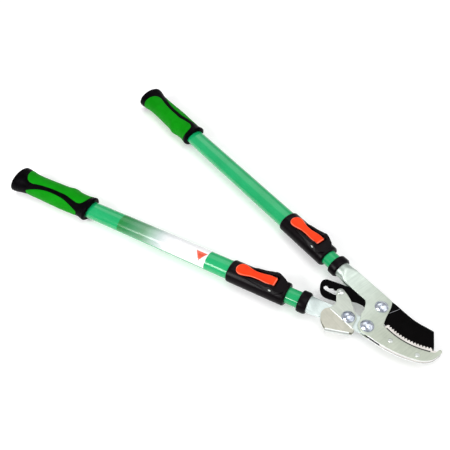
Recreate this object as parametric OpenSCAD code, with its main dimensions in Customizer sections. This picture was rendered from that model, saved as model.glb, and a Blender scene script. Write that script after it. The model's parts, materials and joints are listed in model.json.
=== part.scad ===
// Telescopic ratchet anvil loppers, lying flat.
// +Z is up, +X runs along the anvil handle towards the jaw, and the origin is the middle of the footprint
// on the surface the tool lies on.

/* [Overall] */
// Angle between the two handles with the jaw closed, degrees
handle_angle = 24; // [18:1:30]
// Distance from the blade pivot to the butt of the anvil handle
anvil_reach = 573.9; // [560:0.1:600]
// Offset of the anvil handle's axis from the blade pivot
anvil_axis_y = 4.4; // [3.5:0.1:5.5]
// Height of the tool's middle plane above the surface it lies on
lie_height = 18; // [17.5:0.5:20]

/* [Handles] */
// Length of each outer tube
outer_tube_len = 434; // [400:2:450]
// Half width of the outer tube, across the tool
outer_a = 14; // [13.6:0.1:14.2]
// Half height of the outer tube
outer_b = 11.3; // [11:0.1:11.5]
// Wall of the outer tube
outer_wall = 1.4; // [1:0.1:1.6]
// Half width of the inner tube
inner_a = 11.4; // [11.2:0.1:11.6]
// Half height of the inner tube
inner_b = 9.3; // [9.1:0.1:9.4]
// Wall of the inner tube
inner_wall = 1.5; // [1.2:0.1:1.6]
// Distance from the butt to the rear end of the inner tube
inner_start = 62; // [50:1:80]
// Distance from the butt to the black collar on the anvil handle
anvil_collar_at = 490; // [488:1:494]
// Distance from the butt to the black collar on the lever handle
lever_collar_at = 494; // [490:1:496]
// Width of each black collar along the handle
collar_len = 12; // [10:0.5:14]

/* [Grips] */
// Distance from the butt line to the front end of each grip
grip_end = 158; // [156:1:170]
// Lean of the grip's ends, forward for each millimetre of height
end_lean = 0.34; // [0:0.02:0.36]
// Half width of the grip at its waist
grip_a = 17.3; // [16.5:0.1:18.5]
// Half height of the grip at its waist
grip_b = 15.8; // [15:0.1:17]
// How far the butt flare stands out past the waist, sideways
butt_flare = 4.6; // [3.4:0.1:5]
// Height of the finger bump on the inner side
finger_bump = 2.4; // [0:0.1:3]

/* [Clamps] */
// Distance from the butt to the rear end of each clamp
clamp_at = 394; // [390:1:398]
// Length of each clamp body
clamp_len = 83; // [80:1:86]
// Half width of the clamp body
clamp_a = 16.4; // [16:0.1:17]
// Half height of the clamp body
clamp_b = 13.2; // [13:0.1:14]
// Distance from the butt to the flip lever's hinge pin
flip_at = 457.7; // [456:0.1:459]
// Height of the flip lever's hinge pin above the tube axis
flip_z = 14.2; // [14:0.1:14.4]
// Radius of the flip lever's hinge pin
flip_pin_r = 1.8; // [1.5:0.1:1.8]

/* [Head] */
// Inner face of each side plate, from the middle plane
plate_in = 1.7; // [1.65:0.05:1.9]
// Thickness of each side plate
plate_t = 2; // [1.8:0.1:2.4]
// Half thickness of the blade at its spine
blade_half = 1.5; // [1.3:0.05:1.5]
// Radius of the blade's cutting edge
edge_r = 74; // [73.8:0.1:74.1]
// Half thickness of the cutting edge
edge_half = 0.15; // [0.1:0.05:0.2]
// Taper of the blade's ground faces, half thickness per millimetre
grind = 0.05; // [0.04:0.005:0.05]
// Radius of the anvil's tooth tips, from the centre of the cutting edge's arc
tooth_tip_r = 71; // [70.6:0.1:71.4]
// Depth of the anvil's teeth
tooth_depth = 1.7; // [1.2:0.1:2]
// Number of teeth on the anvil
tooth_count = 16; // [12:1:18]
// Radius of the three pivot bolts
bolt_r = 4; // [3.5:0.1:4.2]
// Running clearance of a pivot, on the radius
run_gap = 0.05; // [0.03:0.01:0.08]
// Radius of the domed bolt heads and nuts
dome_r = 8.2; // [7.5:0.1:8.5]
// Height of the domed bolt heads and nuts
dome_h = 4.6; // [4:0.1:5]
// Radius of the ratchet pin
pin_r = 1.9; // [1.7:0.05:1.9]

/* [Motion] */
// How far the lever handle opens, degrees
open_angle = 60; // [30:1:60]
// Turn of the blade for each degree of the lever handle
blade_ratio = 0.54; // [0.54:0.01:0.55]
// Turn of the pawl on the lever for each degree of the lever handle
pawl_ratio = -0.49; // [-0.5:0.01:-0.49]

/* [Hidden] */
$fn = 48;
eps = 0.02;
// Centre of the footprint, from the blade pivot
mid_x = -245.2;
mid_y = -132.4;
// Pivots, from the blade pivot
lever_pivot = [7.8, -32.4];
pawl_pivot = [-14.5, -41.2];
ratchet_pin = [-45.6, -23.3];
// Butt of the lever handle, from the blade pivot
lever_butt = [-520.5, -270.1];
// Centre of the cutting edge's arc
edge_c = [27.1, 60.4];
plate_out = plate_in + plate_t;
steel = [0.78, 0.81, 0.78];
bright = [0.9, 0.9, 0.92];
black = [0.05, 0.05, 0.06];
blade_black = [0.02, 0.02, 0.02];
green = [0.05, 0.66, 0.38];
leaf = [0.08, 0.56, 0.08];
orange = [0.95, 0.3, 0.1];
grey = [0.55, 0.56, 0.58];

// ---- frames ----

module head_frame() {
    translate([-mid_x, -mid_y, lie_height])
        children();
}

module anvil_frame() {
    head_frame()
        translate([-anvil_reach, anvil_axis_y, 0])
            children();
}

module lever_frame() {
    head_frame()
        translate([lever_butt[0], lever_butt[1], 0])
            rotate([0, 0, handle_angle])
                children();
}

// ---- shared shapes ----

function oval(a, b, n = 48) = [for (i = [0 : n - 1]) [a * cos(360 * i / n), b * sin(360 * i / n)]];

function arc(c, r, a0, a1, n) = [for (i = [0 : n])
    let (a = a0 + (a1 - a0) * i / n)
    c + r * [cos(a), sin(a)]];

function turn(p, a) = [p[0] * cos(a) - p[1] * sin(a), p[0] * sin(a) + p[1] * cos(a)];

function smooth(t) = t <= 0 ? 0 : t >= 1 ? 1 : t * t * (3 - 2 * t);

// A straight oval bar along a handle, from s0 to s1
module oval_bar(a, b, s0, s1) {
    translate([s0, 0, 0])
        rotate([90, 0, 90])
            linear_extrude(s1 - s0)
                polygon(oval(a, b));
}

module oval_tube(a, b, wall, s0, s1) {
    difference() {
        oval_bar(a, b, s0, s1);
        oval_bar(a - wall, b - wall, s0 - 1, s1 + 1);
    }
}

// A closed skin over rings of points, each ring with the same count. With strip set, each ring is an outer
// line and an inner line back, and the ends are closed by strips between the two
module skin(rings, strip = false) {
    n = len(rings[0]);
    m = len(rings);
    points = [for (r = rings) for (p = r) p];
    half = n / 2;
    first = strip
        ? [for (i = [0 : half - 2]) for (h = [0, 1])
            h == 0 ? [i, i + 1, n - 1 - i] : [i + 1, n - 2 - i, n - 1 - i]]
        : [[for (i = [0 : n - 1]) i]];
    last = [for (face = first) [for (i = [len(face) - 1 : -1 : 0]) face[i] + (m - 1) * n]];
    sides = [for (k = [0 : m - 2]) for (i = [0 : n - 1]) for (h = [0, 1])
        let (a = k * n + i, b = k * n + (i + 1) % n, c = a + n, d = b + n)
        h == 0 ? [a, c, b] : [b, c, d]];
    polyhedron(points = points, faces = concat(first, sides, last), convexity = 8);
}

// A plate between two heights
module slab(points, z0, z1) {
    translate([0, 0, z0])
        linear_extrude(z1 - z0)
            polygon(points);
}

module post(p, r, z0, z1) {
    translate([p[0], p[1], z0])
        cylinder(r = r, h = z1 - z0);
}

// A domed head sitting on z = 0
module dome(r, h) {
    lip = 0.8;
    ball = ((h - lip) * (h - lip) + r * r) / (2 * (h - lip));
    cylinder(r = r, h = lip);
    intersection() {
        translate([0, 0, h - ball])
            sphere(r = ball, $fn = 64);
        translate([0, 0, lip - eps])
            cylinder(r = r, h = h);
    }
}

// ---- head ----

// Front half of an arm: a tang for the inner tube's mouth, an oval socket, then a blend from s0 to s1 down to
// a flat strip of half width flat_a between heights z0 and z1, its middle shifted sideways by flat_n
module arm_half(collar_at, s0, s1, flat_a, flat_n, z0, z1) {
    steps = 4;
    m = 10;
    joint_at = collar_at + collar_len / 2 + 0.1;
    tang = inner_wall + 0.05;
    // [distance, half width, half height, wall, squareness, lower edge, sideways shift]
    straight = [
        [joint_at - 24, inner_a - tang, inner_b - tang, inner_wall, 1, eps, 0],
        [joint_at, inner_a - tang, inner_b - tang, inner_wall, 1, eps, 0],
        [joint_at + eps, inner_a, inner_b, inner_wall + tang, 1, eps, 0],
        [joint_at + 3, inner_a, inner_b, inner_wall, 1, eps, 0]];
    blend = [for (k = [0 : steps]) let (t = k / steps, e = smooth(t))
        [s0 + (s1 - s0) * t, inner_a + (flat_a - inner_a) * e, inner_b + (z1 - inner_b) * e,
            inner_wall + (z1 - z0 - inner_wall) * e, 1 - 0.85 * e, eps + (z0 - eps) * e, flat_n * e]];
    skin([for (q = concat(straight, blend)) let (inner_top = max(q[2] - q[3], q[5] + 0.06))
        concat(
            [for (i = [0 : m]) let (f = 180 * i / m, c = cos(f))
                [q[0], q[6] + q[1] * sign(c) * pow(abs(c), q[4]), q[5] + (q[2] - q[5]) * pow(sin(f), q[4])]],
            [for (i = [0 : m]) let (f = 180 - 180 * i / m, c = cos(f), r = q[1] - max(q[3] * q[4], 0.3))
                [q[0], q[6] + r * sign(c) * pow(abs(c), q[4]),
                    q[5] + (inner_top - q[5]) * pow(sin(f), q[4])]])],
        strip = true);
}

tube_rivet_r = 2;

module socket_rivet_hole(collar_at) {
    translate([collar_at + 2.6, 0, -20])
        cylinder(r = tube_rivet_r, h = 40, $fn = 32);
}

anvil_flat0 = anvil_reach - 66;
anvil_flat1 = anvil_reach - 52;

function side_plate_outline() = concat(
    [[-52, 15.9], [-52, -8.1], [-45, -8.3], [-30, -8.2], [-20.5, -7.9], [-18, -8.8], [-15.5, -11]],
    [[-13, -15], [-9.8, -20.5], [-8.6, -26.2], [-6.2, -28.6]],
    arc(lever_pivot, 10.8, 180, 284, 10),
    [[20, -40.6], [30, -38.6], [40, -35.9], [50, -32.4], [60, -27.6], [70, -21.7], [76.5, -16.5]],
    [[80.5, -11], [82.8, -5], [83.5, 2], [83.2, 7.6], [82.2, 9.8], [80.4, 10.5], [78.8, 9.4], [78.3, 6.6]],
    arc(edge_c, 77.6, -48.6, -94, 20),
    [[19.2, -16.2], [17.6, -14.6], [15, -9.6], [13, -5], [10.5, 1.5], [8, 7.5], [5, 12.6], [3.4, 14.8]],
    [[1.2, 15.7], [-20, 15.8]]);

module side_plate() {
    difference() {
        union() {
            slab(side_plate_outline(), plate_in, plate_out);
            translate([-anvil_reach, anvil_axis_y, 0])
                arm_half(anvil_collar_at, anvil_flat0, anvil_flat1, 12, -0.5, plate_in, plate_out);
        }
        post([0, 0], bolt_r, 0, 20);
        post(lever_pivot, bolt_r, 0, 20);
        post([37.7, -25.4], 2.4, 0, 20);
        post([68.4, -15.3], 2.4, 0, 20);
        translate([-anvil_reach, anvil_axis_y, 0])
            socket_rivet_hole(anvil_collar_at);
    }
}

module front_side_plate() {
    color(steel)
        head_frame()
            side_plate();
}

module back_side_plate() {
    color(steel)
        head_frame()
            mirror([0, 0, 1])
                side_plate();
}

// Wall of the anvil that stands beside the cutting edge, with teeth along its top
module anvil_wall() {
    a0 = -95;
    a1 = -50.5;
    step = (a1 - a0) / tooth_count;
    top = [for (i = [0 : tooth_count - 1]) for (h = [0, 1])
        let (a = a0 + step * (i + (h == 0 ? 0.12 : 0.62)), r = tooth_tip_r + (h == 0 ? tooth_depth : 0))
        edge_c + r * [cos(a), sin(a)]];
    slab(concat(arc(edge_c, edge_r + 3.2, a0, a1, 20), [for (i = [len(top) - 1 : -1 : 0]) top[i]]),
        0.8, plate_in - eps);
}

module anvil_insert() {
    base = concat(arc(edge_c, edge_r + 0.25, -95, -49.4, 20),
        [[79.6, 8], [82.5, 7.4], [83.1, 2], [82.4, -5], [80.2, -10.8], [76.3, -16.2], [69.8, -21.4], [59.8, -27.3]],
        [[49.9, -32], [39.9, -35.5], [33.4, -37.4], [31.6, -36.8], [27.6, -32.6], [23.4, -26.6], [20.3, -20]]);
    color([0.86, 0.86, 0.84])
        head_frame()
            difference() {
                union() {
                    slab(base, -plate_in + eps, plate_in - eps);
                    anvil_wall();
                    mirror([0, 0, 1])
                        anvil_wall();
                }
                post([37.7, -25.4], 2.4, -20, 20);
                post([68.4, -15.3], 2.4, -20, 20);
            }
}

module rivet(p) {
    post(p, 2.35, -plate_out, plate_out);
    for (side = [0, 1])
        mirror([0, 0, side])
            translate([p[0], p[1], plate_out])
                cylinder(r1 = 2.9, r2 = 2.3, h = 0.5);
}

module anvil_rivets() {
    color([0.7, 0.73, 0.7])
        head_frame() {
            rivet([37.7, -25.4]);
            rivet([68.4, -15.3]);
        }
}

// Dome head on the front, shank through to the nut
module pivot_bolt(p) {
    head_frame()
        translate([p[0], p[1], 0]) {
            translate([0, 0, -plate_out - 3])
                cylinder(r = bolt_r - run_gap, h = 2 * plate_out + 3 + eps);
            translate([0, 0, plate_out + eps])
                dome(dome_r, dome_h);
        }
}

module pivot_nut(p) {
    head_frame()
        translate([p[0], p[1], 0])
            mirror([0, 0, 1])
                translate([0, 0, plate_out + eps])
                    difference() {
                        dome(dome_r, dome_h);
                        translate([0, 0, -1])
                            cylinder(r = bolt_r, h = 4.2);
                    }
}

module blade_pivot_bolt() {
    color(bright)
        pivot_bolt([0, 0]);
}

module blade_pivot_nut() {
    color(bright)
        pivot_nut([0, 0]);
}

module lever_pivot_bolt() {
    color(bright)
        pivot_bolt(lever_pivot);
}

module lever_pivot_nut() {
    color(bright)
        pivot_nut(lever_pivot);
}

module pawl_pivot_bolt() {
    color(bright)
        pivot_bolt(pawl_pivot);
}

module pawl_pivot_nut() {
    color(bright)
        pivot_nut(pawl_pivot);
}

// ---- blade ----

// Where the ratchet pin sits on the blade when the lever handle is open by t degrees
function pin_track(t) = let (
    hub = lever_pivot + turn(pawl_pivot - lever_pivot, t),
    tip = hub + turn(ratchet_pin - pawl_pivot, t * (1 + pawl_ratio)))
    turn(tip, -t * blade_ratio);

module ratchet_slot() {
    gap = pin_r + 0.35;
    track = [for (i = [0 : 8]) pin_track(open_angle * i / 8)];
    for (p = track)
        translate(p)
            circle(r = gap);
    for (i = [0 : 7])
        polygon([track[i] + [0.3, gap], track[i + 1] + [-0.6, gap - 0.6],
            track[i + 1] - [0.6, gap + 0.6], track[i] - [0.3, gap]]);
    polygon(concat(
        [[-66.4, -32], [-66.7, -31], [-66.4, -29.6], [-65.5, -28.4], [-63.7, -28.1], [-62, -28.4], [-60.4, -28]],
        [[-59.3, -27.1], [-58.4, -25.9], [-57.6, -25], [-56.2, -24.9], [-54.7, -25.2], [-53.2, -24.8]],
        [[-52.4, -23.6], [-51.5, -22.5], [-50, -22.4], [-48.6, -22.6], [-47.6, -22.2]],
        [[-44.6, -25.3], [-45.6, -28.2], [-47.6, -30.2], [-49.3, -31.2], [-54.1, -32.8], [-59.5, -34.6]],
        [[-61.6, -35.1], [-63.4, -35], [-65.2, -33.9]]));
}

module blade() {
    outline = concat(
        arc(edge_c, edge_r, -96, -49.2, 24),
        [[74.9, 7], [59.6, 23.6], [57.5, 23.4], [49.5, 21.1], [39.5, 18.4], [29.5, 17.3], [14.5, 17.1]],
        [[3, 16.6], [-2, 15.2], [-8, 12.6], [-24, 4.5], [-36, -2.8], [-47, -9.4], [-61, -16.4], [-69, -20.6]],
        [[-72, -22.8], [-73.4, -26], [-73.2, -29.5], [-71, -34], [-66.5, -38.8], [-61.5, -41.9]],
        [[-57, -42.9], [-51.5, -41.3], [-42, -35.6], [-37.5, -31.6], [-33, -25.5], [-30, -21.4]],
        [[-27, -18.6], [-23, -16.1], [-19, -14.6], [-15, -13.9], [-5, -13.6], [5, -13.4], [14, -13.4]]);
    color(blade_black)
        head_frame()
            difference() {
                slab(outline, -blade_half, blade_half);
                post([0, 0], bolt_r, -5, 5);
                translate([0, 0, -5])
                    linear_extrude(10)
                        ratchet_slot();
                for (side = [0, 1])
                    mirror([0, 0, side])
                        blade_grind();
            }
}

// Conical hollow that thins the blade from its spine to the cutting edge, ahead of the heel
module blade_grind() {
    r0 = edge_r - (blade_half - edge_half) / grind;
    r1 = edge_r + 4;
    intersection() {
        translate([edge_c[0], edge_c[1], 0])
            rotate_extrude($fn = 180)
                polygon([[r0, blade_half], [r1, edge_half - (r1 - edge_r) * grind], [r1, 3], [r0, 3]]);
        slab([[13.6, -20], [95, -20], [95, 30], [16, 30], [16, 13]], -1, 4);
    }
}

// ---- lever arm ----

lever_flat0 = 507;
lever_flat1 = 519;
tongue_a = 11.2;

function tongue_outline() = concat(
    [[lever_flat1, tongue_a], [lever_flat1, -tongue_a]],
    [[524, -10.4], [535, -9.8], [548, -9.2], [560, -8.4], [570, -8.2]],
    arc([579.3, 2.3], 10.2, -105, 100, 16),
    [[571, 12.2], [556, 12.6], [545, 12.2], [530, 11.4]]);

module lever_plate() {
    difference() {
        union() {
            translate([lever_butt[0], lever_butt[1], 0])
                rotate([0, 0, handle_angle]) {
                    slab(tongue_outline(), eps, blade_half);
                    arm_half(lever_collar_at, lever_flat0, lever_flat1, tongue_a, 0, eps, blade_half);
                }
        }
        post(lever_pivot, bolt_r, -1, 20);
        post(pawl_pivot, bolt_r, -1, 20);
        translate([lever_butt[0], lever_butt[1], 0])
            rotate([0, 0, handle_angle])
                socket_rivet_hole(lever_collar_at);
    }
}

module lever_front_plate() {
    color([0.78, 0.83, 0.84])
        head_frame()
            lever_plate();
}

module lever_back_plate() {
    color([0.78, 0.83, 0.84])
        head_frame()
            mirror([0, 0, 1])
                lever_plate();
}

// ---- pawl ----

pawl_in = 1.9;

module pawl_stirrup() {
    ear = [[-50.5, -25.6], [-46, -30.6], [-41.5, -35], [-38.4, -38.6], [-37.4, -44], [-38.2, -50], [1.6, -48],
        [-2, -46], [-4.6, -41], [-6.5, -35.5], [-10.5, -31.8], [-14.5, -30.2], [-20, -27], [-28, -22.6],
        [-42.4, -18.7], [-45.6, -18], [-48.8, -19], [-50.8, -22]];
    skirt = [[-38, -49.5], [-40.6, -56], [-39.2, -62.2], [-33.4, -68.2], [-27, -71.6], [-19, -75],
        [2.5, -57], [4.4, -53], [1.9, -47.5]];
    web = [[-19, -75], [2.5, -57], [1.4, -55.7], [-20.4, -73.6]];
    color([0.8, 0.81, 0.76])
        head_frame()
            difference() {
                union() {
                    for (side = [0, 1])
                        mirror([0, 0, side]) {
                            slab(ear, pawl_in, plate_out);
                            slab(skirt, pawl_in, plate_out - 0.6);
                        }
                    slab(web, -plate_out + 0.6, plate_out - 0.6);
                }
                post(pawl_pivot, bolt_r, -20, 20);
                post(ratchet_pin, pin_r, -20, 20);
            }
}

module pawl_pin() {
    color([0.82, 0.84, 0.83])
        head_frame()
            translate([ratchet_pin[0], ratchet_pin[1], 0]) {
                translate([0, 0, -plate_out - eps])
                    cylinder(r = pin_r - eps, h = 2 * plate_out + 2 * eps, $fn = 32);
                for (side = [0, 1])
                    mirror([0, 0, side])
                        translate([0, 0, plate_out + eps])
                            dome(4.3, 2);
            }
}

// Leaf spring between the stirrup's web and the lever arm
module pawl_spring() {
    color(grey)
        head_frame()
            slab([[-20.8, -72.4], [-0.6, -55.6], [0.6, -54.6], [-0.4, -53.6], [-2.2, -54.2], [-22.6, -61.8],
                [-22.8, -61.2], [-1.8, -53.2], [-0.2, -52.8], [1.2, -54.2], [0.4, -55.8], [-20.4, -73]],
                -1.4, 1.4);
}

// ---- inner tubes ----

module inner_tube(collar_at) {
    joint_at = collar_at + collar_len / 2;
    difference() {
        oval_tube(inner_a, inner_b, inner_wall, inner_start, joint_at);
        socket_rivet_hole(collar_at);
    }
}

module tube_collar(collar_at) {
    rim = 1.2;
    out_a = 15;
    out_b = 12.4;
    difference() {
        skin([for (q = [[0, -rim], [rim, 0], [collar_len - rim - 1, 0], [collar_len, -rim * 1.4]])
            [for (p = oval(out_a + q[1], out_b + q[1])) [collar_at + q[0], p[0], p[1]]]]);
        oval_bar(inner_a + eps, inner_b + eps, collar_at - 1, collar_at + collar_len + 1);
    }
}

module tube_rivet(collar_at) {
    translate([collar_at + 2.6, 0, -inner_b + 0.1])
        cylinder(r = tube_rivet_r - eps, h = 2 * (inner_b - 0.1), $fn = 32);
}

// Plug in the rear end of the inner tube, which slides inside the outer tube
module end_plug() {
    slide_gap = 0.3;
    shoe = outer_wall + slide_gap;
    spigot = inner_wall + eps;
    oval_bar(outer_a - shoe, outer_b - shoe, inner_start - 14, inner_start - eps);
    oval_bar(inner_a - spigot, inner_b - spigot, inner_start - 1, inner_start + 16);
}

module anvil_inner_tube() {
    color(green)
        anvil_frame()
            inner_tube(anvil_collar_at);
}

module lever_inner_tube() {
    color(green)
        lever_frame()
            inner_tube(lever_collar_at);
}

module anvil_tube_collar() {
    color(black)
        anvil_frame()
            tube_collar(anvil_collar_at);
}

module lever_tube_collar() {
    color(black)
        lever_frame()
            tube_collar(lever_collar_at);
}

module anvil_tube_rivet() {
    color(grey)
        anvil_frame()
            tube_rivet(anvil_collar_at);
}

module lever_tube_rivet() {
    color(grey)
        lever_frame()
            tube_rivet(lever_collar_at);
}

module anvil_end_plug() {
    color(black)
        anvil_frame()
            end_plug();
}

module lever_end_plug() {
    color(black)
        lever_frame()
            end_plug();
}

// ---- outer tubes and clamps ----

tube_start = 14;
tube_end = tube_start + outer_tube_len;

module outer_tube() {
    oval_tube(outer_a, outer_b, outer_wall, tube_start, tube_end);
}

cheek_in = 8;
cheek_out = 13;
clamp_end = clamp_at + clamp_len;
window_0 = flip_at - 6.2;
window_1 = flip_at + 5.2;
deck_z = 12.3;

// Side profile of the raised housing that carries the hinge pin
function housing_profile() = concat(
    [[420, 6], [422.5, 12.4], [430, 14.4], [444, 16], [449, 17.2]],
    arc([flip_at, flip_z], 5.8, 140, 30, 10),
    [[465.5, 15.6], [469, 14.4], [473, 13.4], [475.5, 12.4], [475.5, 6]]);

// Half width of the housing seen from above, rounded round the front of the flip lever
function housing_half() = [[419, 7.6], [424, 9.6], [430, 10.6], [440, 11.4], [446, 12.2], [451, 13], [462, 13],
    [465.6, 12.5], [469, 11.2], [471.6, 9.2], [473.6, 6.6], [474.6, 3.4], [474.8, 0]];

module clamp_body() {
    rim = 2.2;
    difference() {
        union() {
            skin([for (q = [[0, -1.9], [rim * 0.3, -0.9], [rim, 0], [clamp_len - rim, 0],
                [clamp_len - rim * 0.3, -0.9], [clamp_len, -1.9]])
                [for (p = oval(clamp_a + q[1], clamp_b + q[1])) [clamp_at + q[0], p[0], p[1]]]]);
            intersection() {
                translate([0, cheek_out, 0])
                    rotate([90, 0, 0])
                        linear_extrude(2 * cheek_out)
                            polygon(housing_profile());
                slab(concat(housing_half(), [for (i = [11 : -1 : 0]) [housing_half()[i][0], -housing_half()[i][1]]]),
                    4, 24);
            }
            translate([flip_at + 1.4, cheek_out + 0.2, flip_z - 1.6])
                rotate([90, 0, 0])
                    cylinder(r = 5.6, h = 2 * cheek_out + 0.4);
        }
        oval_bar(outer_a + eps, outer_b + eps, clamp_at - 1, clamp_end - 3);
        oval_bar(inner_a + 0.4, inner_b + 0.4, clamp_at, clamp_end + 1);
        translate([398, -cheek_in, deck_z])
            cube([window_1 - 398, 2 * cheek_in, 20]);
        translate([398, -10.2, deck_z])
            cube([24, 20.4, 20]);
        translate([window_0, -cheek_in, 5])
            cube([window_1 - window_0, 2 * cheek_in, 20]);
        translate([flip_at, 20, flip_z])
            rotate([90, 0, 0])
                cylinder(r = flip_pin_r, h = 40);
    }
}

// Split plastic bush that the inner tube slides in
module clamp_liner() {
    difference() {
        oval_bar(outer_a - eps, outer_b - eps, tube_end + 0.2, clamp_end - 3.1);
        oval_bar(inner_a + 0.3, inner_b + 0.3, tube_end - 1, clamp_end);
        translate([window_0, -cheek_in, 5])
            cube([window_1 - window_0, 2 * cheek_in, 20]);
    }
}

module clamp_pad() {
    translate([flip_at - 4.8, -7, inner_b + 0.1])
        cube([9.6, 14, 0.5]);
}

module clamp_pin() {
    translate([flip_at, cheek_out + 0.3, flip_z])
        rotate([90, 0, 0])
            cylinder(r = flip_pin_r - eps, h = 2 * cheek_out + 0.6);
}

// ---- flip lever ----

lever_tail = 404;

module flip_lever() {
    front = flip_at + 2.8;
    plan = concat(
        arc([lever_tail + 8.8, 0], 8.8, 70, 290, 14),
        [[423, -6.1], [429, -4.9], [435, -4.9], [441, -5.9], [447, -6.8], [452, -6.9], [front - 0.6, -6.5]],
        [[front, -5.9], [front, 5.9], [front - 0.6, 6.5], [452, 6.9], [447, 6.8], [441, 5.9], [435, 4.9]],
        [[429, 4.9], [423, 6.1]]);
    side = [[403, 13.2], [406, 14.5], [412, 15.2], [424, 15.2], [434, 15.5], [444, 16.7], [452, 17.5],
        [front - 0.8, 17.5], [front + 1, 16.9], [front + 1, 16.3], [450, 16.3], [444, 14.6], [434, 13.1],
        [424, 12.7], [403, 12.7]];
    intersection() {
        slab(plan, 8, 24);
        translate([0, 12, 0])
            rotate([90, 0, 0])
                linear_extrude(24)
                    polygon(side);
    }
}

// Black cam hub under the front of the lever
module flip_hub() {
    hub_half = 7.5;
    profile = concat(
        [[flip_at + 2.6, 16.28], [450, 16.28], [444, 14.58], [439, 13.6], [442, 12.7], [flip_at - 5.4, 12.7]],
        arc([flip_at, flip_z], 3.7, 215, 350, 12),
        [[flip_at + 3.3, 15.2]]);
    difference() {
        translate([0, hub_half, 0])
            rotate([90, 0, 0])
                linear_extrude(2 * hub_half)
                    polygon(profile);
        flip_lever();
        translate([flip_at, 20, flip_z])
            rotate([90, 0, 0])
                cylinder(r = flip_pin_r + run_gap, h = 40);
    }
}

// ---- grips ----

grip_start = 9;

// Half width, half height and sideways offset of the grip at a distance from the butt
function grip_size(s) = let (
    butt = exp(-pow((s - 13) / 17, 2)),
    front = 2.2 * exp(-pow((s - 155) / 7, 2)),
    swell = 0.9 * exp(-pow((s - 98) / 30, 2)),
    bump = finger_bump * exp(-pow((s - 112) / 9, 2)),
    nose = s < grip_start + 3 ? 2.6 * pow(1 - (s - grip_start) / 3, 2) : 0,
    tail = s > grip_end - 3 ? 1.2 * pow((s - grip_end + 3) / 3, 2) : 0)
    [grip_a + butt_flare * butt + front + swell + bump / 2 - nose - tail,
        grip_b + 3.2 * butt + front + swell * 0.7 - nose - tail, bump / 2];

// Share of the lean at a distance from the butt: all of it at the ends, none in the middle
function lean_share(s) = s < 90 ? 1 - smooth((s - 22) / 34) : smooth((s - 118) / 26);

// Point on the grip's surface; angle is measured from the inner side, lift is outward
function grip_point(s, f, lift) = let (q = grip_size(s), z = max(-lie_height, (q[1] + lift) * sin(f)))
    [s + end_lean * lean_share(s) * (z - 12), q[2] + (q[0] + lift) * cos(f), z];

module grip_core() {
    stations = [grip_start, 9.8, 10.8, 12.2, 14.5, 17, 20, 25, 31, 38, 46, 55, 64, 76, 88, 98, 105, 110, 114, 119,
        126, 134, 141, 146, 150, 153, 155.5, 157, grip_end];
    n = 44;
    difference() {
        skin([for (s = stations) [for (i = [0 : n - 1]) grip_point(s, 360 * i / n, 0)]]);
        oval_bar(outer_a + eps, outer_b + eps, tube_start - eps, grip_end + 10);
    }
}

// Limits of the two soft panels, as an angle from the inner side
function inner_limit(s, mid) = let (base = mid + 15 * pow((s - 91) / 44, 2),
    rear = s < 46 ? pow(max(0, 1 - pow((46 - s) / 22, 2.5)), 0.4) : 1,
    fore = s > 134 ? pow(max(0, 1 - pow((s - 134) / 16, 3)), 1 / 3) : 1)
    min(base, mid + 15) * rear * fore;

function outer_limit(s, mid) = min(179, mid + 18 + 45 * pow(abs(s - 90) / 52.5, 2.2));

// Soft panel from angle a0 to a1 at each station, standing a little proud of the core
module grip_panel(stations, from_a, to_a) {
    m = 18;
    proud = 0.5;
    sunk = 0.9;
    skin([for (k = [0 : len(stations) - 1])
        let (s = stations[k], a0 = from_a[k], step = (to_a[k] - from_a[k]) / m)
        concat(
            [for (i = [0 : m]) grip_point(s, a0 + step * i, proud)],
            [for (i = [m : -1 : 0]) grip_point(s, a0 + step * i, -sunk)])],
        strip = true);
}

module grip_panels(mid) {
    s_in = [24.4, 25, 27, 30, 35, 40, 46, 56, 68, 80, 91, 100, 106, 111, 116, 122, 128, 134,
        140, 144.5, 147.5, 149.2, 149.9];
    s_out = [38.4, 40, 43, 48, 55, 64, 74, 84, 94, 104, 114, 122, 129, 135, 139, 141.4];
    grip_panel(s_in, [for (s = s_in) -inner_limit(s, mid)], [for (s = s_in) inner_limit(s, mid)]);
    grip_panel(s_out, [for (s = s_out) outer_limit(s, mid)], [for (s = s_out) 360 - outer_limit(s, mid)]);
}

label_at = 214;
label_end = 360;

// Printed film wrapped round the upper side of the tube
module tube_label() {
    film_in = 0.02;
    film_out = 0.12;
    a0 = 22.5;
    step = 7.5;
    m = 21;
    skin([for (s = [label_at, label_end])
        concat(
            [for (i = [0 : m]) let (f = a0 + step * i)
                [s, (outer_a + film_out) * cos(f), (outer_b + film_out) * sin(f)]],
            [for (i = [m : -1 : 0]) let (f = a0 + step * i)
                [s, (outer_a + film_in) * cos(f), (outer_b + film_in) * sin(f)]])],
        strip = true);
}

// ---- anvil handle nodes ----

module anvil_outer_tube() {
    color(green)
        anvil_frame()
            outer_tube();
}

module anvil_clamp_body() {
    color(black)
        anvil_frame()
            clamp_body();
}

module anvil_clamp_liner() {
    color(grey)
        anvil_frame()
            clamp_liner();
}

module anvil_clamp_pad() {
    color(grey)
        anvil_frame()
            clamp_pad();
}

module anvil_clamp_pin() {
    color(bright)
        anvil_frame()
            clamp_pin();
}

module anvil_grip_core() {
    color(black)
        anvil_frame()
            mirror([0, 1, 0])
                grip_core();
}

module anvil_grip_panels() {
    color(leaf)
        anvil_frame()
            mirror([0, 1, 0])
                grip_panels(87);
}

module anvil_flip_lever() {
    color(orange)
        anvil_frame()
            flip_lever();
}

module anvil_flip_hub() {
    color(black)
        anvil_frame()
            flip_hub();
}

// ---- lever handle nodes ----

module lever_outer_tube() {
    color(green)
        lever_frame()
            outer_tube();
}

module lever_clamp_body() {
    color(black)
        lever_frame()
            clamp_body();
}

module lever_clamp_liner() {
    color(grey)
        lever_frame()
            clamp_liner();
}

module lever_clamp_pad() {
    color(grey)
        lever_frame()
            clamp_pad();
}

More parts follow.
